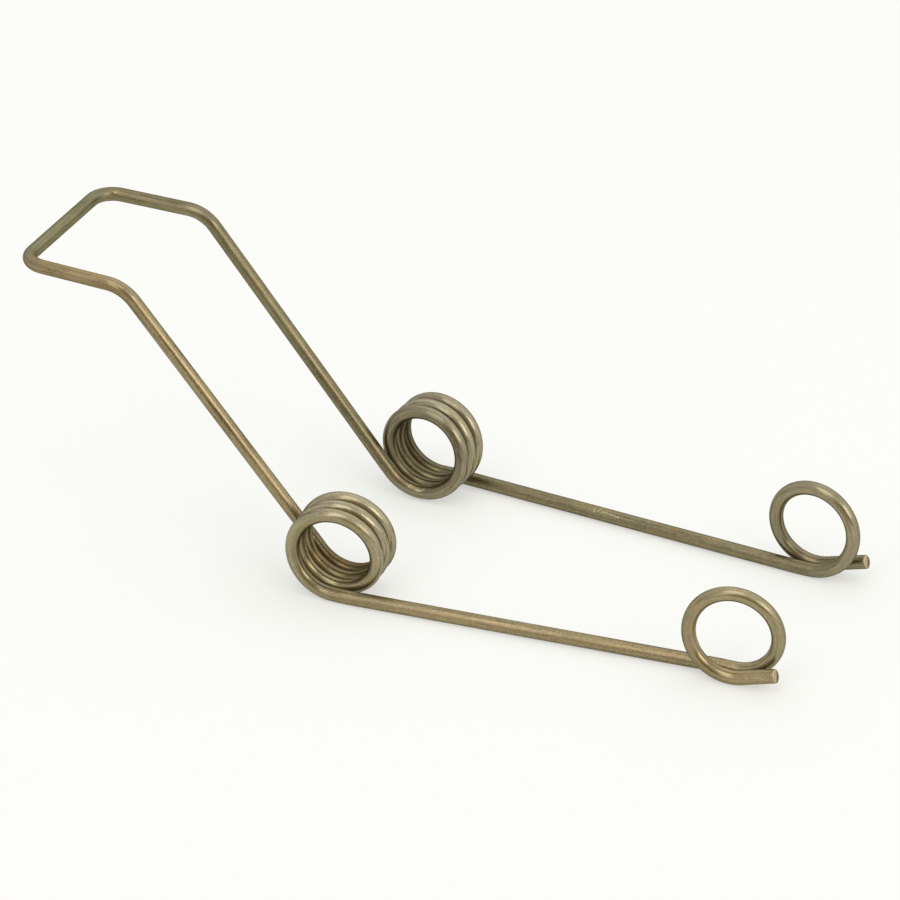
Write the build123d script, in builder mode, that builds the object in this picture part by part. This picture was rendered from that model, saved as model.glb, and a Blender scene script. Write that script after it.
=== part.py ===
from build123d import *
import os

# Double torsion spring, bent from one length of round spring wire.
# The wire starts in the middle of a rectangular bail. From each end of the bail it drops down a
# straight upper leg, winds outwards through a close coil, runs along a straight lower leg and
# closes in an upright eye that ends in a short tail. The two halves mirror each other, apart from
# the near tail, which is cut a little shorter.
# X runs from the coils towards the eyes, Y across both coils, and Z up. The origin lies midway
# between the coils, at the height of their axes. All sizes are in millimetres and degrees, and
# lengths and widths are taken along the middle of the wire unless they say clear.

# Wire
wire_diameter = 2.0

# Coils
coil_inner_diameter = 10.1
coil_whole_turns = 3
coil_turn_gap = 0.3
coil_clear_spacing = 21.5
coil_yaw = 2.7
coil_droop = 2.2

# Upper legs
upper_leg_length = 45.8
upper_leg_slope = 50.2

# Bail
shoulder_width = 25.2
bail_width = 24.3
bail_reach = 16.1
bail_rise = 0.4
shoulder_inside_radius = 4.6
bail_inside_radius = 2.3

# Lower legs
lower_leg_length = 58.1
toe_in = 4.6

# Eyes and tails
eye_inner_diameter = 10.3
eye_gap = 0.25
tail_rise = 16.5
near_tail_length = 5.0
far_tail_length = 6.0

# Slight sideways bends, where a leg meets the sloping start or end of a winding
lead_length = 2.0
side_bend_radius = 18.0

# The near coil. Its helix starts where the upper leg touches it, on the inner side, and ends at
# the lowest point of its outermost turn. Its axis is turned a little towards the eyes on its way
# out, and droops a little.
coil_radius = (coil_inner_diameter + wire_diameter) / 2
coil_pitch = wire_diameter + coil_turn_gap
coil_sweep = 360 * coil_whole_turns + upper_leg_slope
coil_start_y = -(coil_clear_spacing + wire_diameter) / 2
upper_leg_dir = Vector(1, 0, 0).rotate(Axis.Y, upper_leg_slope)
coil_plane = Plane(
    origin=(0, coil_start_y, 0),
    x_dir=upper_leg_dir.rotate(Axis.Y, 90),
    z_dir=Vector(0, -1, 0).rotate(Axis.X, coil_droop).rotate(Axis.Z, coil_yaw),
)
coil = coil_plane * Helix(coil_pitch, coil_pitch * coil_sweep / 360, coil_radius)
coil_lead_in = coil @ 0 - (coil % 0) * lead_length
coil_lead_out = coil @ 1 + (coil % 1) * lead_length

# The near lower leg, and the near eye in the leg's own upright plane
lower_leg_dir = Vector(1, 0, 0).rotate(Axis.Z, toe_in)
lower_leg_end = coil_lead_out + lower_leg_dir * (lower_leg_length - 2 * lead_length)
eye_radius = (eye_inner_diameter + wire_diameter) / 2
eye_pitch = wire_diameter + eye_gap
eye_sweep = 360 + tail_rise
eye_plane = Plane(
    origin=(0, 0, 0),
    x_dir=(0, 0, -1),
    z_dir=Vector(0, -1, 0).rotate(Axis.Z, toe_in),
)
eye_at_origin = eye_plane * Helix(eye_pitch, eye_pitch * eye_sweep / 360, eye_radius)
eye_start = lower_leg_end + (eye_at_origin % 0) * lead_length
eye = Pos(eye_start - eye_at_origin @ 0) * eye_at_origin
near_tail_end = eye @ 1 + (eye % 1) * near_tail_length
far_tail = Line(eye @ 1, eye @ 1 + (eye % 1) * far_tail_length)

# The corners of the bail. The shoulder lies straight up the slope from the coil's tangent point,
# seen from the side, and stands out to its own width.
shoulder = coil @ 0 - upper_leg_dir * upper_leg_length
shoulder.Y = -shoulder_width / 2
bail_corner = Vector(shoulder.X - bail_reach, -bail_width / 2, shoulder.Z + bail_rise)
bail_middle = Vector(bail_corner.X, 0, bail_corner.Z)
shoulder_radius = shoulder_inside_radius + wire_diameter / 2
bail_radius = bail_inside_radius + wire_diameter / 2

with BuildPart() as spring_wire:
    # Middle line of the wire: the near half up to its eye, its mirror image, and the two tails
    with BuildLine():
        FilletPolyline(
            bail_middle,
            bail_corner,
            shoulder,
            coil_lead_in,
            coil @ 0,
            radius=(bail_radius, shoulder_radius, side_bend_radius),
        )
        add(coil)
        FilletPolyline(
            coil @ 1,
            coil_lead_out,
            lower_leg_end,
            eye_start,
            radius=(side_bend_radius, side_bend_radius),
        )
        add(eye)
        mirror(about=Plane.XZ)
        Line(eye @ 1, near_tail_end)
        mirror(far_tail, about=Plane.XZ)
    # Round section of the wire, on the square cut at the near tail's end
    with BuildSketch(Plane(origin=near_tail_end, z_dir=-(eye % 1))):
        Circle(wire_diameter / 2)
    sweep()

spring_wire.part.label = "spring_wire"
os.makedirs("parts", exist_ok=True)
export_step(spring_wire.part, "parts/spring_wire.step")
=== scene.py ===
import bpy
import numpy as np
from mathutils import Matrix, Vector


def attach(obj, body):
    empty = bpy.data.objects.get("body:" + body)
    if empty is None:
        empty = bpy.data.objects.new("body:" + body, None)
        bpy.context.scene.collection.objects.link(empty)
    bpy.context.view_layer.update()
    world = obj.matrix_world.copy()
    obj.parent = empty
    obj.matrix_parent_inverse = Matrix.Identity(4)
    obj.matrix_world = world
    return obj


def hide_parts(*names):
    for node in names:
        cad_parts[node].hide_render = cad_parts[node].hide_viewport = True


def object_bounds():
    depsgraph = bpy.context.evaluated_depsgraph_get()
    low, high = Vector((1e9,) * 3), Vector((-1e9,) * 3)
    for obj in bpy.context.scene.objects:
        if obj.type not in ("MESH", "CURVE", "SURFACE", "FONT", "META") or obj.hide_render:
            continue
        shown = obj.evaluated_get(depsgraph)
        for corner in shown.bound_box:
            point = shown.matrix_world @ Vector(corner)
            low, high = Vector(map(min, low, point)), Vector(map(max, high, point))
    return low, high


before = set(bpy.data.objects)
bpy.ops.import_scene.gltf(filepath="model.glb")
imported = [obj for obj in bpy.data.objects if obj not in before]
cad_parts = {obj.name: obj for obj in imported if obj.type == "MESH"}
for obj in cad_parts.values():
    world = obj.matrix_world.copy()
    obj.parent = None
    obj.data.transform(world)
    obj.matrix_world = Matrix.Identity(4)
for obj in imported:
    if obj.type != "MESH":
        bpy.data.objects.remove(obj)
cad_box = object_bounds()

# Spring wire. The whole spring is one length of drawn round wire, bent cold into a bail, two
# upper legs, two coils, two lower legs and two eyes, and then heated to take the strain out of
# it, which tints it golden brown. Both ends are sheared off square. Lengths are in metres.
wire_radius = 0.0010
mesh_radius = 0.000995
coil_radius = 0.00605
coil_pitch = 0.0023
coil_whole_turns = 3
coil_clear_spacing = 0.0215
coil_yaw = np.radians(2.7)
coil_droop = np.radians(2.2)
upper_leg_length = 0.0458
upper_leg_slope = np.radians(50.2)
shoulder_width = 0.0252
bail_width = 0.0243
bail_reach = 0.0161
bail_rise = 0.0004
shoulder_radius = 0.0056
bail_radius = 0.0033
lower_leg_length = 0.0581
toe_in = np.radians(4.6)
eye_radius = 0.00615
eye_pitch = 0.00225
eye_sweep = np.radians(360 + 16.5)
near_tail_length = 0.0050
far_tail_length = 0.0060
lead_length = 0.0020
side_bend_radius = 0.0180
fine_step = 0.00004
fewest_arc_points = 3
ring_step = 0.00034
points_round = 40
edge_roll = 0.00017
roll_turn = np.radians([0, 18, 36, 54, 72, 90])[:, None]
face_shares = np.array([0.9, 0.7, 0.45, 0.2])[:, None]
face_hollow = 0.00005
blurred_rings = 9


def unit(v):
    """The vector divided by its length."""
    return v / np.linalg.norm(v)


def bent_run(corners, radii):
    """Points along straight runs through the corners, with a tangent arc at each inner corner.

    An arc of radius r, where the run turns by the angle a, starts r * tan(a / 2) before the
    corner. Its points are start + r * (sin t * run direction + (1 - cos t) * inward direction),
    for t from zero to a."""
    pieces = [corners[0][None, :]]
    for before, corner, after, r in zip(corners, corners[1:], corners[2:], radii):
        ahead, turned = unit(corner - before), unit(after - corner)
        angle = np.arccos(np.clip(ahead @ turned, -1, 1))
        inward = unit(turned - ahead * (ahead @ turned))
        start = corner - ahead * r * np.tan(angle / 2)
        arc_points = max(fewest_arc_points, int(angle * r / fine_step))
        t = np.linspace(0, angle, arc_points)[:, None]
        pieces.append(start + r * (np.sin(t) * ahead + (1 - np.cos(t)) * inward))
    pieces.append(corners[-1][None, :])
    return np.concatenate(pieces)


def winding(origin, start_dir, axis, radius, pitch, sweep):
    """Helix points: origin + radius * (cos a * start direction + sin a * side direction) +
    pitch * a / full turn * axis, for a from zero to sweep. The side direction is the axis
    crossed with the start direction."""
    side = np.cross(axis, start_dir)
    a = np.linspace(0, sweep, int(sweep * radius / fine_step))[:, None]
    rise = axis * pitch * a / (2 * np.pi)
    return origin + radius * (np.cos(a) * start_dir + np.sin(a) * side) + rise


def heading(points):
    """Direction of a curve at its first point p0, from the parabola through its first three
    points: 4 * p1 - 3 * p0 - p2."""
    return unit(4 * points[1] - 3 * points[0] - points[2])


def near_half(tail_length):
    """Middle line of the half with negative Y, from the middle of the bail to the tail's end."""
    slope, yaw, droop = upper_leg_slope, coil_yaw, coil_droop
    leg = np.array([np.cos(slope), 0, -np.sin(slope)])
    axis = np.array([np.sin(yaw) * np.cos(droop), -np.cos(yaw) * np.cos(droop), -np.sin(droop)])
    first = np.array([-np.sin(slope), 0, -np.cos(slope)])
    first = unit(first - axis * (first @ axis))
    middle = np.array([0, -(coil_clear_spacing / 2 + wire_radius), 0])
    sweep = 2 * np.pi * coil_whole_turns + slope
    coil = winding(middle, first, axis, coil_radius, coil_pitch, sweep)
    lead_in = coil[0] - heading(coil) * lead_length
    lead_out = coil[-1] - heading(coil[::-1]) * lead_length

    shoulder = coil[0] - leg * upper_leg_length
    shoulder[1] = -shoulder_width / 2
    corner = np.array([shoulder[0] - bail_reach, -bail_width / 2, shoulder[2] + bail_rise])
    bail_middle = corner * [1, 0, 1]
    down = bent_run(
        [bail_middle, corner, shoulder, lead_in, coil[0]],
        [bail_radius, shoulder_radius, side_bend_radius],
    )

    along = np.array([np.cos(toe_in), np.sin(toe_in), 0])
    across = np.array([np.sin(toe_in), -np.cos(toe_in), 0])
    low = np.array([0, 0, -1.0])
    eye = winding(np.zeros(3), low, across, eye_radius, eye_pitch, eye_sweep)
    leg_end = lead_out + along * (lower_leg_length - 2 * lead_length)
    eye_start = leg_end + heading(eye) * lead_length
    eye = eye + (eye_start - eye[0])
    out = bent_run([coil[-1], lead_out, leg_end, eye_start], [side_bend_radius] * 2)
    tail_end = eye[-1] - heading(eye[::-1]) * tail_length
    return np.concatenate([down[:-1], coil[:-1], out[:-1], eye, tail_end[None, :]])


def even_steps(line, step):
    """The same line at equal steps: each coordinate is read off against the length so far."""
    so_far = np.r_[0, np.cumsum(np.linalg.norm(np.diff(line, axis=0), axis=1))]
    length = np.linspace(0, so_far[-1], int(round(so_far[-1] / step)) + 1)
    return np.stack([np.interp(length, so_far, line[:, k]) for k in range(3)], axis=1), length


def untwisted_frames(line, length):
    """Tangent and two section directions that never turn about the wire.

    The first direction is a fixed vector made square to the tangent. It is then turned back by
    the twist it has gathered, which is the sum of its change along the wire, measured towards
    the second direction."""
    tangent = np.gradient(line, length, axis=0)
    tangent /= np.linalg.norm(tangent, axis=1)[:, None]
    fixed = unit(np.array([0, 1.0, 1.0]))
    first = fixed - tangent * (tangent @ fixed)[:, None]
    first /= np.linalg.norm(first, axis=1)[:, None]
    second = np.cross(tangent, first)
    middle_second = (second[1:] + second[:-1]) / 2
    twist = np.r_[0, np.cumsum(np.sum(np.diff(first, axis=0) * middle_second, axis=1))]
    c, s = np.cos(-twist)[:, None], np.sin(-twist)[:, None]
    return tangent, c * first + s * second, c * second - s * first


def cut_end(t, top):
    """Radius and setback of the rings round a sheared end, from its side to its middle.

    The edge is rolled over by the shear, most at the top: its roll is edge_roll * (1 + cos(t -
    top) / 2). Over it the radius is mesh radius - roll * (1 - cos turn) and the setback is
    roll * (1 - sin turn). The face inside it is hollow by face_hollow * (1 - share ** 2)."""
    roll = edge_roll * (1 + np.cos(t - top) / 2)
    rolled_radius = mesh_radius - roll * (1 - np.cos(roll_turn))
    face_radius = (mesh_radius - roll) * face_shares
    face_back = np.broadcast_to(face_hollow * (1 - face_shares**2), face_radius.shape)
    back = np.concatenate([roll * (1 - np.sin(roll_turn)), face_back])
    return np.concatenate([rolled_radius, face_radius]), back


def closed_faces(rows):
    """Quads between the rings, and a fan of triangles to the middle of each cut face.

    Point k of ring j is number j * points_round + k. The two middle points come last."""
    k = np.arange(points_round)
    k_next = (k + 1) % points_round
    a = np.arange(rows - 1)[:, None] * points_round + k
    b = np.arange(rows - 1)[:, None] * points_round + k_next
    quads = np.stack([a, b, b + points_round, a + points_round], axis=2).reshape(-1, 4)
    last = (rows - 1) * points_round
    middle = np.full(points_round, rows * points_round)
    start_fan = np.stack([middle, k_next, k], axis=1)
    end_fan = np.stack([middle + 1, last + k, last + k_next], axis=1)
    return quads.tolist() + start_fan.tolist() + end_fan.tolist()


def wire_mesh(name, line, length):
    """A round section carried along the line, closed at both ends by a sheared face.

    A point is line + setback * inward tangent + r * (cos t * first direction + sin t * second
    direction), for t round the section. The radius r is a little under the real wire's, which
    keeps this finer mesh inside the solid's box.

    The attribute wire_place holds r * cos t, r * sin t and the length along the wire, which goes
    on across each cut face by mesh radius - r. The attribute wire_bend holds two measures of a
    bend. The first is how far it presses the skin together, which is the offset from the middle
    line times the change of tangent with length, and is below zero where the bend stretches the
    skin. The second is the most that the first reaches anywhere round that section."""
    tangent, first, second = untwisted_frames(line, length)
    turning = np.gradient(tangent, length, axis=0)
    blur = np.full(blurred_rings, 1 / blurred_rings)
    turning = np.stack([np.convolve(turning[:, k], blur, "same") for k in range(3)], axis=1)
    t = np.linspace(0, 2 * np.pi, points_round, endpoint=False)
    start_r, start_back = cut_end(t, np.arctan2(second[0, 2], first[0, 2]))
    end_r, end_back = cut_end(t, np.arctan2(second[-1, 2], first[-1, 2]))
    sides = np.arange(1, len(line) - 1)
    ring = np.r_[np.zeros(len(start_r), int), sides, np.full(len(end_r), len(line) - 1)]
    flat = np.zeros((len(sides), points_round))
    r = np.concatenate([start_r[::-1], flat + mesh_radius, end_r])[:, :, None]
    inward = np.concatenate([start_back[::-1], flat, -end_back])[:, :, None]
    over = np.concatenate([start_r[::-1] - mesh_radius, flat, mesh_radius - end_r])
    across, up = np.cos(t)[None, :, None], np.sin(t)[None, :, None]
    outward = across * first[ring][:, None, :] + up * second[ring][:, None, :]
    grid = line[ring][:, None, :] + inward * tangent[ring][:, None, :] + r * outward
    pressed = mesh_radius * np.sum(turning[ring][:, None, :] * outward, axis=2)
    most_pressed = mesh_radius * np.linalg.norm(turning[ring], axis=1)[:, None]
    most_pressed = np.broadcast_to(most_pressed, pressed.shape)
    bend = np.stack([pressed, most_pressed, np.zeros_like(pressed)], axis=2)
    along_wire = length[ring][:, None] + over
    place = np.concatenate([r * across, r * up, along_wire[:, :, None]], axis=2)
    middles = [line[0] + face_hollow * tangent[0], line[-1] - face_hollow * tangent[-1]]
    middle_places = [[0, 0, -mesh_radius], [0, 0, length[-1] + mesh_radius]]
    points = np.concatenate([grid.reshape(-1, 3), middles])
    places = np.concatenate([place.reshape(-1, 3), middle_places])
    bends = np.concatenate([bend.reshape(-1, 3), np.zeros((2, 3))])

    faces = closed_faces(len(ring))
    mesh = bpy.data.meshes.new(name)
    mesh.from_pydata(points.tolist(), [], faces)
    mesh.polygons.foreach_set("use_smooth", np.ones(len(faces), dtype=bool))
    for title, values in (("wire_place", places), ("wire_bend", bends)):
        attribute = mesh.attributes.new(title, "FLOAT_VECTOR", "POINT")
        attribute.data.foreach_set("vector", values.ravel().astype(np.float32))
    mesh.validate()
    mesh.update()
    return mesh


near_line = near_half(near_tail_length)
far_line = near_half(far_tail_length) * [1, -1, 1]
middle_line, wire_length = even_steps(np.concatenate([near_line[::-1], far_line[1:]]), ring_step)
spring_mesh = wire_mesh("spring_wire_tinted", middle_line, wire_length)
spring = bpy.data.objects.new("spring_wire_tinted", spring_mesh)
bpy.context.scene.collection.objects.link(spring)


# The wire's material. The die left fine lines along the wire and the heat left its tint, which
# is uneven in tone and stained. The bends are painted with a sheen outside and shade inside.
def node(tree, kind, settings=None, inputs=None):
    """Adds a node with these settings. Each input is a value, or the socket that feeds it."""
    made = tree.nodes.new(kind)
    for name, value in (settings or {}).items():
        setattr(made, name, value)
    for name, value in (inputs or {}).items():
        if isinstance(value, bpy.types.NodeSocket):
            tree.links.new(value, made.inputs[name])
        else:
            made.inputs[name].default_value = value
    return made


def math(tree, operation, *values):
    """The result of a Math node on these values or sockets."""
    return node(tree, "ShaderNodeMath", {"operation": operation}, dict(enumerate(values))).outputs[0]


def opposite(tree, value):
    """One minus the value."""
    return math(tree, "SUBTRACT", 1.0, value)


def times(tree, first, *others):
    """The product of these values or sockets."""
    product = first
    for value in others:
        product = math(tree, "MULTIPLY", product, value)
    return product


def added_up(tree, base, *parts):
    """The base plus each part, which is an amount and the socket that it is multiplied by."""
    total = base
    for amount, value in parts:
        total = math(tree, "MULTIPLY_ADD", value, amount, total)
    return total


def vector_math(tree, operation, *values, output="Vector"):
    """The result of a Vector Math node on these values or sockets."""
    made = node(tree, "ShaderNodeVectorMath", {"operation": operation}, dict(enumerate(values)))
    return made.outputs[output]


def scaled(tree, vector, amount):
    """The vector or colour multiplied by the amount."""
    made = node(tree, "ShaderNodeVectorMath", {"operation": "SCALE"}, {0: vector, "Scale": amount})
    return made.outputs[0]


def split(tree, vector):
    """The outputs X, Y and Z that hold the parts of a vector."""
    return node(tree, "ShaderNodeSeparateXYZ", None, {0: vector}).outputs


def joined(tree, x, y, z):
    """The vector made of these three values or sockets."""
    return node(tree, "ShaderNodeCombineXYZ", None, {0: x, 1: y, 2: z}).outputs[0]


def blend(tree, amount, first, second):
    """The first colour turning into the second as the amount goes from 0 to 1."""
    made = node(tree, "ShaderNodeMix", {"data_type": "RGBA"}, {0: amount, 6: first, 7: second})
    return made.outputs[2]


def ramp(tree, value, low, high):
    """0 where the value is at or below low, 1 where it is at or above high, smooth between."""
    made = node(
        tree,
        "ShaderNodeMapRange",
        {"interpolation_type": "SMOOTHSTEP"},
        {"Value": value, "From Min": low, "From Max": high},
    )
    return made.outputs[0]


def between(tree, value, low, high, soft):
    """1 between low and high, 0 outside them, smooth over the soft width about each."""
    risen = ramp(tree, value, low - soft / 2, low + soft / 2)
    fallen = ramp(tree, value, high - soft / 2, high + soft / 2)
    return math(tree, "SUBTRACT", risen, fallen)


def effect_group(name, inputs, outputs):
    """An empty node group with these sockets, and its inner ends."""
    group = bpy.data.node_groups.new(name, "ShaderNodeTree")
    for title, kind in inputs:
        group.interface.new_socket(title, in_out="INPUT", socket_type="NodeSocket" + kind)
    for title, kind in outputs:
        group.interface.new_socket(title, in_out="OUTPUT", socket_type="NodeSocket" + kind)
    return group, group.nodes.new("NodeGroupInput"), group.nodes.new("NodeGroupOutput")


def placed(tree, group, **inputs):
    """The first output of an effect group with these inputs."""
    return node(tree, "ShaderNodeGroup", {"node_tree": group}, inputs).outputs[0]


# Marks drawn out along the wire: noise that is as wide as Across and as long as Along. The noise
# keeps near its middle, so a ramp spreads it out to run from 0 to 1.
noise_low, noise_high = 0.25, 0.75
drawn_marks, given, result = effect_group(
    "drawn_marks",
    [("Place", "Vector"), ("Across", "Float"), ("Along", "Float")],
    [("Marks", "Float")],
)
across = given.outputs["Across"]
mark_size = joined(drawn_marks, across, across, given.outputs["Along"])
noise = node(
    drawn_marks,
    "ShaderNodeTexNoise",
    None,
    {
        "Vector": vector_math(drawn_marks, "DIVIDE", given.outputs["Place"], mark_size),
        "Scale": 1.0,
        "Detail": 2.0,
        "Roughness": 0.55,
    },
)
marks = ramp(drawn_marks, noise.outputs[0], noise_low, noise_high)
drawn_marks.links.new(marks, result.inputs[0])

# A scrape: a stroke from Start to End that spreads to each side by about as much as Spread. Noise
# makes the distance from the stroke count for more or for less, which leaves its edge ragged.
rag_scale = 6000.0
rag_least, rag_range = 0.2, 1.8
scrape_full, scrape_gone = 0.4, 1.2
scrape, given, result = effect_group(
    "scrape",
    [("Place", "Vector"), ("Start", "Vector"), ("End", "Vector"), ("Spread", "Float")],
    [("Scrape", "Float")],
)
start, spot = given.outputs["Start"], given.outputs["Place"]
stroke = vector_math(scrape, "SUBTRACT", given.outputs["End"], start)
offset = vector_math(scrape, "SUBTRACT", spot, start)
covered = vector_math(scrape, "DOT_PRODUCT", offset, stroke, output="Value")
whole = vector_math(scrape, "DOT_PRODUCT", stroke, stroke, output="Value")
share = math(scrape, "DIVIDE", covered, whole)
share = math(scrape, "MINIMUM", math(scrape, "MAXIMUM", share, 0.0), 1.0)
gap = vector_math(scrape, "SUBTRACT", offset, scaled(scrape, stroke, share))
away = vector_math(scrape, "LENGTH", gap, output="Value")
rag = node(scrape, "ShaderNodeTexNoise", None, {"Vector": spot, "Scale": rag_scale}).outputs[0]
away = times(scrape, away, added_up(scrape, rag_least, (rag_range, rag)))
away = math(scrape, "DIVIDE", away, given.outputs["Spread"])
worn = opposite(scrape, ramp(scrape, away, scrape_full, scrape_gone))
scrape.links.new(worn, result.inputs[0])

tinted_wire = bpy.data.materials.new("heat_tinted_wire")
tinted_wire.use_nodes = True
tree = tinted_wire.node_tree
shader = tree.nodes["Principled BSDF"]
position = node(tree, "ShaderNodeTexCoord").outputs["Object"]
place = node(tree, "ShaderNodeAttribute", {"attribute_name": "wire_place"}).outputs["Vector"]
bend = node(tree, "ShaderNodeAttribute", {"attribute_name": "wire_bend"}).outputs["Vector"]
fine_lines = placed(tree, drawn_marks, Place=place, Across=0.00011, Along=0.009)
broad_lines = placed(tree, drawn_marks, Place=place, Across=0.00035, Along=0.022)
seams = placed(tree, drawn_marks, Place=place, Across=0.00022, Along=0.030)
grain = placed(tree, drawn_marks, Place=place, Across=0.00012, Along=0.00018)
patches = placed(tree, drawn_marks, Place=place, Across=0.0007, Along=0.0018)
clouds = placed(tree, drawn_marks, Place=place, Across=0.0030, Along=0.008)

# Parts of the wire. Each mask is 1 on its part of the wire and 0 off it. Many are given by their
# distance along the wire from the middle of the bail, which is below zero on the near half. The
# bail, its bar and the coils are told by where they stand.
half_length = float(wire_length[-1]) / 2
along = split(tree, place)["Z"]
past_bail = math(tree, "SUBTRACT", along, half_length)
far_side = ramp(tree, past_bail, -0.020, 0.020)
near_side = opposite(tree, far_side)
near_leg_and_bail = times(tree, near_side, ramp(tree, past_bail, -0.080, -0.070))
near_first_turn = between(tree, past_bail, -0.087, -0.070, 0.008)
past_second_turn = opposite(tree, ramp(tree, past_bail, -0.150, -0.142))
near_tail = opposite(tree, ramp(tree, along, 0.004, 0.010))
off_near_tail = ramp(tree, along, 0.012, 0.030)
far_upper_leg = between(tree, past_bail, 0.030, 0.074, 0.006)
far_first_turn = between(tree, past_bail, 0.080, 0.112, 0.014)
# Painted shade on the far coil's last turn, between the coils.
far_last_turn_painted_shade = between(tree, past_bail, 0.180, 0.197, 0.010)
far_lower_leg = between(tree, past_bail, 0.199, 0.247, 0.006)
far_eye = between(tree, past_bail, 0.246, 0.290, 0.008)
# Painted highlight on the top of the far eye.
far_eye_painted_highlight = between(tree, past_bail, 0.254, 0.274, 0.008)
far_tail = ramp(tree, past_bail, 0.288, 0.293)
x = split(tree, position)["X"]
on_bar = opposite(tree, ramp(tree, x, -0.0500, -0.0480))
off_bail = ramp(tree, x, -0.0345, -0.0285)
on_bail = opposite(tree, off_bail)
beyond_shoulders = ramp(tree, x, -0.0280, -0.0200)
off_axis = vector_math(tree, "MULTIPLY", position, (1, 0, 1))
off_axis = vector_math(tree, "LENGTH", off_axis, output="Value")
off_coil = ramp(tree, off_axis, 0.0074, 0.0095)
in_coil = opposite(tree, off_coil)
far_off_coil = times(tree, far_side, off_coil)

# The bends, and the skin that they pressed together on their inside and stretched outside. A
# mask rises from 0 to 1 between the least and the full amount, as shares of the skin's length.
least_bend, full_bend = 0.06, 0.14
least_worked, full_worked = 0.02, 0.15
bend = split(tree, bend)
in_bend = ramp(tree, bend["Y"], least_bend, full_bend)
pressed = ramp(tree, bend["X"], least_worked, full_worked)
stretched = ramp(tree, times(tree, bend["X"], -1.0), least_worked, full_worked)

# Heat tint. The far half took a darker, greyer one than the near half, the near arm of the bail a
# browner one, and the bar of the bail an olive one. It is paler and greyer on the coils and eyes,
# except by the near tail.
near_leg_tint = (0.322, 0.254, 0.141, 1)
near_bend_tint = (0.334, 0.280, 0.162, 1)
near_bail_tint = (0.304, 0.232, 0.117, 1)
far_leg_tint = (0.219, 0.185, 0.104, 1)
far_bend_tint = (0.264, 0.226, 0.139, 1)
bar_tint = (0.234, 0.218, 0.124, 1)
greyed = times(tree, in_bend, beyond_shoulders, off_near_tail)
near_tint = blend(tree, greyed, near_leg_tint, near_bend_tint)
near_tint = blend(tree, on_bail, near_tint, near_bail_tint)
far_tint = blend(tree, greyed, far_leg_tint, far_bend_tint)
colour = blend(tree, far_side, near_tint, far_tint)
colour = blend(tree, on_bar, colour, bar_tint)

# Painted light on the bends. The outer side of each bend, where the skin was stretched, is painted
# paler and greyer as a sheen. The inner side, where it was pressed together, is painted darker and
# browner as shade between the turns. Both show most in the coils. The painted shade doesn't show
# on the bail, and shows little from the near coil's last turn on.
near_painted_bend_sheen = (0.412, 0.360, 0.238, 1)
far_painted_bend_sheen = (0.374, 0.328, 0.218, 1)
near_painted_bend_shade = (0.158, 0.110, 0.038, 1)
far_painted_bend_shade = (0.138, 0.106, 0.050, 1)
# Share of painted sheen and shade: most in the coils, and a little more on the far eye.
painted_bend_light_share = added_up(tree, 0.20, (0.60, in_coil), (0.20, far_off_coil))
bend_sheen_share = times(tree, stretched, painted_bend_light_share)
painted_bend_sheen = blend(tree, far_side, near_painted_bend_sheen, far_painted_bend_sheen)
colour = blend(tree, bend_sheen_share, colour, painted_bend_sheen)
# Painted shade on the inner side of the bends, weaker from the near coil's last turn on.
bend_shade_depth = added_up(tree, 0.95, (-0.65, past_second_turn))
bend_shade_share = times(tree, pressed, painted_bend_light_share, bend_shade_depth, off_bail)
painted_bend_shade = blend(tree, far_side, near_painted_bend_shade, far_painted_bend_shade)
colour = blend(tree, bend_shade_share, colour, painted_bend_shade)

# Stains. The tint runs to olive in broad clouds and to brown in small patches, and the inside of
# the near coil's first turn has a little rust.
olive_stain = (0.150, 0.140, 0.078, 1)
brown_stain = (0.220, 0.150, 0.062, 1)
rust_stain = (0.240, 0.126, 0.052, 1)
olive_share = times(tree, ramp(tree, clouds, 0.35, 0.95), 0.40)
colour = blend(tree, olive_share, colour, olive_stain)
brown_share = times(tree, ramp(tree, patches, 0.55, 1.0), 0.45)
colour = blend(tree, brown_share, colour, brown_stain)
rust_patches = ramp(tree, patches, 0.45, 0.80)
rust_share = times(tree, near_first_turn, pressed, rust_patches, 0.5)
colour = blend(tree, rust_share, colour, rust_stain)

# Tone. The draw lines are deepest on pressed skin and on the arms of the bail, and the grain is
# fainter on bends and on the bail. Seams are dark. The first turn of each coil is darker, the far
# coil's last turn is darker as painted shade between the coils, and some runs are paler. The top
# of the far eye is painted paler as a highlight. The near upper leg is cloudy, and the far one is
# painted paler on top as a highlight and darker below as shade.
over_leg_way = (float(np.sin(upper_leg_slope)), 0.0, float(np.cos(upper_leg_slope)))
over_leg = vector_math(tree, "DOT_PRODUCT", position, over_leg_way, output="Value")
over_leg = math(tree, "ADD", over_leg, coil_radius)
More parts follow.
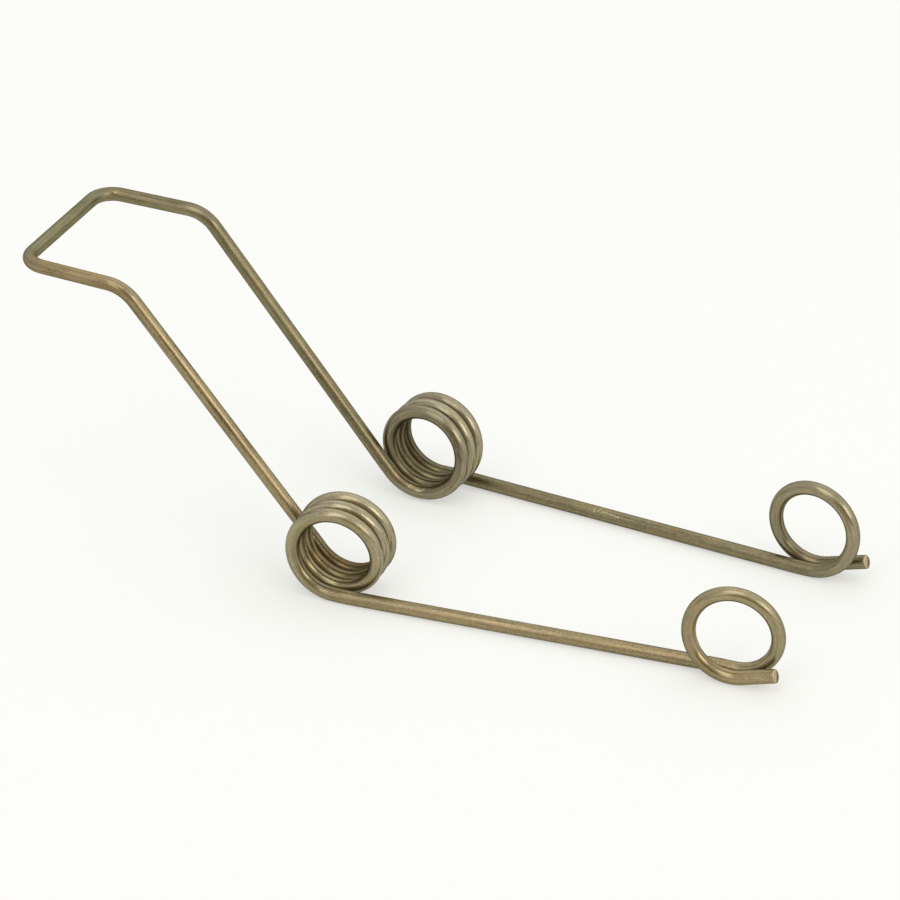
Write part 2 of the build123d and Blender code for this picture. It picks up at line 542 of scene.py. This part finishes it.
# Painted light on the far upper leg: a highlight on its top and shade on its underside.
far_leg_painted_top_highlight = times(tree, far_upper_leg, ramp(tree, over_leg, 0.0004, 0.0006))
far_leg_painted_underside_shade = times(tree, far_upper_leg, opposite(tree, ramp(tree, over_leg, 0.0, 0.0003)))
cloudy_leg = times(tree, near_leg_and_bail, off_bail, math(tree, "SUBTRACT", clouds, 0.5))
dark_seams = ramp(tree, seams, 0.62, 0.95)
pressed_off_bail = times(tree, pressed, off_bail)
line_depth = added_up(tree, 0.34, (0.5, pressed_off_bail), (0.4, on_bail), (-0.4, on_bar))
grain_depth = added_up(tree, 0.80, (-0.42, math(tree, "MAXIMUM", in_bend, on_bail)))
tone = added_up(
    tree,
    0.62,
    (line_depth, math(tree, "SUBTRACT", fine_lines, 0.5)),
    (grain_depth, math(tree, "SUBTRACT", grain, 0.5)),
    (0.26, broad_lines),
    (0.24, patches),
    (0.32, clouds),
    (-0.24, dark_seams),
    (-0.20, near_first_turn),
    (-0.11, far_first_turn),
    # painted shade between the coils
    (-0.22, far_last_turn_painted_shade),
    (0.34, cloudy_leg),
    # painted highlight on top of the far upper leg, and painted shade below it
    (0.10, far_leg_painted_top_highlight),
    (-0.10, far_leg_painted_underside_shade),
    (0.06, far_lower_leg),
    (-0.04, far_eye),
    # painted highlight on the far eye's top
    (0.13, far_eye_painted_highlight),
    (0.12, far_tail),
    (0.16, near_tail),
)
colour = scaled(tree, colour, tone)

# A ragged scrape on the far lower leg, and rub marks under the far coil and on the bail. Each
# stroke is given by its two ends and its spread. An end is its distance along the far half of the
# wire from the middle of the bail, and its degrees round the wire. Its lengths are millimetres.
scraped_steel = (0.56, 0.49, 0.30, 1)
scraped_share = 0.50
scrape_strokes = [
    ((216.2, 2), (216.3, 29), 0.17),
    ((216.8, 16), (217.1, -6), 0.15),
    ((217.5, 14), (218.2, 9), 0.16),
    ((218.6, 12), (219.7, 23), 0.10),
    ((219.7, 23), (220.2, 23), 0.14),
    ((75.4, 93), (75.6, 68), 0.14),
    ((76.8, 96), (77.5, 96), 0.15),
    ((77.5, 96), (78.1, 71), 0.10),
    ((12.5, 90), (12.8, 93), 0.18),
]


def on_skin(distance, turn):
    """A place on the skin as wire_place holds it: r * cos turn, r * sin turn, and the length."""
    a = np.radians(turn)
    return mesh_radius * np.cos(a), mesh_radius * np.sin(a), half_length + distance / 1000


scraped = 0.0
for start, end, spread in scrape_strokes:
    stroke = placed(
        tree, scrape, Place=place, Start=on_skin(*start), End=on_skin(*end), Spread=spread / 1000
    )
    scraped = math(tree, "MAXIMUM", stroke, scraped)
colour = blend(tree, times(tree, scraped, scraped_share), colour, scraped_steel)

# Cut faces. The shear left the ends bare and brighter than the tinted skin, with torn lines across
# them. Each face is darker on its side towards 24 degrees from +X, the camera's right: partly the
# torn zone of the shear, and partly painted shade on that rim.
bare_steel = (0.62, 0.49, 0.29, 1)
torn_steel_and_rim_shade = (0.15, 0.115, 0.070, 1)
bare_from, bare_full = 0.00002, 0.00012
torn_from, torn_full = 0.00002, 0.00022
torn_edge_swing = 0.00012
torn_azimuth = np.radians(24.0)
torn_way = np.array([np.cos(torn_azimuth), np.sin(torn_azimuth), 0.0])
near_middle, far_middle = float(near_line[-1] @ torn_way), float(far_line[-1] @ torn_way)
places = split(tree, place)
across_face = joined(tree, places["X"], places["Z"], places["Y"])
torn_lines = placed(tree, drawn_marks, Place=across_face, Across=0.00022, Along=0.0012)
past_start = times(tree, along, -1.0)
past_end = math(tree, "SUBTRACT", along, half_length * 2)
bare = ramp(tree, math(tree, "MAXIMUM", past_start, past_end), bare_from, bare_full)
face_middle = added_up(tree, near_middle, (far_middle - near_middle, far_side))
past_middle = vector_math(tree, "DOT_PRODUCT", position, tuple(torn_way), output="Value")
past_middle = math(tree, "SUBTRACT", past_middle, face_middle)
past_middle = added_up(tree, past_middle, (torn_edge_swing, torn_lines))
# Torn zone and painted rim shade, on the face's side towards torn_way.
torn_and_shaded_side = ramp(tree, past_middle, torn_from, torn_full)
face_colour = blend(tree, times(tree, torn_and_shaded_side, 0.85), bare_steel, torn_steel_and_rim_shade)
face_colour = scaled(tree, face_colour, added_up(tree, 0.7, (0.5, torn_lines)))
colour = blend(tree, bare, colour, face_colour)

# Gloss and relief. The near upper leg and the bends are the smoothest, above all the far half's
# bends outside its coil. Pressed skin is dull, apart from the near half past its coil's second
# turn. Draw lines and grain stand up, and seams are sunk.
dull_pressed = times(tree, pressed, opposite(tree, past_second_turn))
roughness = added_up(
    tree,
    0.25,
    (-0.07, near_leg_and_bail),
    (-0.15, in_bend),
    (0.10, times(tree, in_bend, on_bail)),
    (-0.05, times(tree, in_bend, far_off_coil)),
    (0.12, dull_pressed),
    (0.08, grain),
    (0.12, clouds),
    (0.02, patches),
)
height = added_up(tree, 0.0, (0.7, fine_lines), (0.5, grain), (-0.4, seams))
relief = node(
    tree, "ShaderNodeBump", None, {"Strength": 0.5, "Distance": 0.000006, "Height": height}
)
tree.links.new(colour, shader.inputs["Base Color"])
tree.links.new(roughness, shader.inputs["Roughness"])
tree.links.new(relief.outputs[0], shader.inputs["Normal"])

# The tinted skin is darker and a little cooler at the wire's edges than bare metal would be.
shader.inputs["Metallic"].default_value = 0.88
shader.inputs["IOR"].default_value = 2.3
shader.inputs["Specular Tint"].default_value = (0.34, 0.375, 0.375, 1)
spring.data.materials.append(tinted_wire)
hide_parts("spring_wire")
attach(spring, "root")

# Floor. A wide pale table top that the spring rests on with its coils, lower legs and eyes. It
# is so brightly lit in the photograph that its shadows are weak, so part of what is seen of it
# is its own even glow, which adds no light to the spring.
floor_height = cad_box[0][2]
floor_half = 3.0
table_colour = (0.858, 0.862, 0.842, 1)
glow_colour = (0.932, 0.940, 0.900, 1)
glow_share = 0.53
floor_points = [
    (x * floor_half, y * floor_half, floor_height) for x, y in ((-1, -1), (1, -1), (1, 1), (-1, 1))
]
floor_mesh = bpy.data.meshes.new("floor")
floor_mesh.from_pydata(floor_points, [], [(0, 1, 2, 3)])
floor = bpy.data.objects.new("floor", floor_mesh)
bpy.context.scene.collection.objects.link(floor)
table_top = bpy.data.materials.new("pale_table_top")
table_top.use_nodes = True
tree = table_top.node_tree
table_shader = tree.nodes["Principled BSDF"]
table_shader.inputs["Base Color"].default_value = table_colour
table_shader.inputs["Roughness"].default_value = 0.9
table_shader.inputs["Specular IOR Level"].default_value = 0.0
ray = node(tree, "ShaderNodeLightPath").outputs
seen = math(tree, "MAXIMUM", ray["Is Camera Ray"], ray["Is Glossy Ray"])
seen = math(tree, "MAXIMUM", seen, ray["Is Transmission Ray"])
glow = node(tree, "ShaderNodeEmission", None, {"Color": glow_colour, "Strength": 1.0})
mixed = node(
    tree,
    "ShaderNodeMixShader",
    None,
    {0: times(tree, seen, glow_share), 1: table_shader.outputs[0], 2: glow.outputs[0]},
)
tree.links.new(mixed.outputs[0], tree.nodes["Material Output"].inputs["Surface"])
floor.data.materials.append(table_top)

# Studio light. A pale room, brighter overhead, to the right and behind the spring, and dim and
# brownish behind the camera, with soft lamps to the right and to the left.
room_level = 0.86
room_colour = (1, 1, 1, 1)
dim_colour = (1, 0.82, 0.50, 1)
lamp_distance = 2.5
right_lamp_colour = (1.0, 0.96, 0.90)
left_lamp_colour = (1.0, 0.97, 0.92)
world = bpy.data.worlds.new("pale_room")
bpy.context.scene.world = world
world.use_nodes = True
room = world.node_tree
facing = node(room, "ShaderNodeTexCoord").outputs["Generated"]


def way(azimuth, elevation):
    """Unit vector at that azimuth from +X and elevation, in degrees."""
    az, el = np.radians(azimuth), np.radians(elevation)
    return Vector((np.cos(az) * np.cos(el), np.sin(az) * np.cos(el), np.sin(el)))


def lobe(azimuth, elevation, outer, inner):
    """1 within the inner angle of that direction, 0 beyond the outer one, smooth between."""
    towards = tuple(way(azimuth, elevation))
    nearness = vector_math(room, "DOT_PRODUCT", facing, towards, output="Value")
    return ramp(room, nearness, np.cos(np.radians(outer)), np.cos(np.radians(inner)))


overhead = lobe(azimuth=40, elevation=62, outer=62, inner=15)
behind_camera = lobe(azimuth=-73, elevation=8, outer=38, inner=14)
behind_left = lobe(azimuth=-140, elevation=24, outer=34, inner=10)
right_wall = lobe(azimuth=12, elevation=25, outer=38, inner=12)
back_wall = lobe(azimuth=112, elevation=38, outer=42, inner=14)
room_tone = added_up(
    room,
    room_level,
    (0.26, overhead),
    (-0.42, behind_camera),
    (-0.06, behind_left),
    (0.22, right_wall),
    (0.26, back_wall),
)
background = room.nodes["Background"]
shown_colour = blend(room, behind_camera, room_colour, dim_colour)
room.links.new(shown_colour, background.inputs["Color"])
room.links.new(room_tone, background.inputs["Strength"])


def soft_lamp(name, azimuth, elevation, size, power, colour):
    """A rectangular lamp at that azimuth from +X and elevation, turned towards the spring."""
    stand = way(azimuth, elevation) * lamp_distance
    lamp = bpy.data.lights.new(name, "AREA")
    lamp.shape = "RECTANGLE"
    lamp.size, lamp.size_y = size
    lamp.energy = power
    lamp.color = colour
    o = bpy.data.objects.new(name, lamp)
    o.matrix_world = Matrix.Translation(stand) @ stand.to_track_quat("Z", "Y").to_matrix().to_4x4()
    o.visible_camera = False
    bpy.context.scene.collection.objects.link(o)


soft_lamp("lamp_right", -28, 33, size=(1.35, 1.15), power=9.9, colour=right_lamp_colour)
soft_lamp("lamp_left", -100, 62, size=(1.4, 1.5), power=7.2, colour=left_lamp_colour)
soft_lamp("strip_left", -104, 33, size=(0.8, 1.5), power=3.4, colour=left_lamp_colour)

# Camera. A long lens at the photograph's viewing angle. The values say from where it looks, how
# far away it stands, and the picture point, in pixels of the 900 wide frame, where the middle
# between the coils shows.
camera_azimuth = np.radians(24.0)
camera_elevation = np.radians(29.29)
camera_distance = 0.73195
focal_pixels = 5205.3
origin_column = 386.46
origin_row = 492.46
frame_pixels = 900
sensor_width = 36
sin_az, cos_az = np.sin(camera_azimuth), np.cos(camera_azimuth)
sin_el, cos_el = np.sin(camera_elevation), np.cos(camera_elevation)
back = Vector((sin_az * cos_el, -cos_az * cos_el, sin_el))
right = Vector((cos_az, sin_az, 0))
up = back.cross(right)
shift_right = (origin_column - frame_pixels / 2) / focal_pixels * camera_distance
shift_up = -(origin_row - frame_pixels / 2) / focal_pixels * camera_distance
camera_data = bpy.data.cameras.new("camera")
camera_data.sensor_width = sensor_width
camera_data.lens = focal_pixels / frame_pixels * sensor_width
camera_data.clip_start = 0.01
camera = bpy.data.objects.new("camera", camera_data)
camera_place = back * camera_distance - right * shift_right - up * shift_up
turn = Matrix((right, up, back)).transposed().to_4x4()
camera.matrix_world = Matrix.Translation(camera_place) @ turn
bpy.context.scene.collection.objects.link(camera)
bpy.context.scene.camera = camera
bpy.context.scene.view_settings.view_transform = "Standard"

bpy.context.view_layer.update()
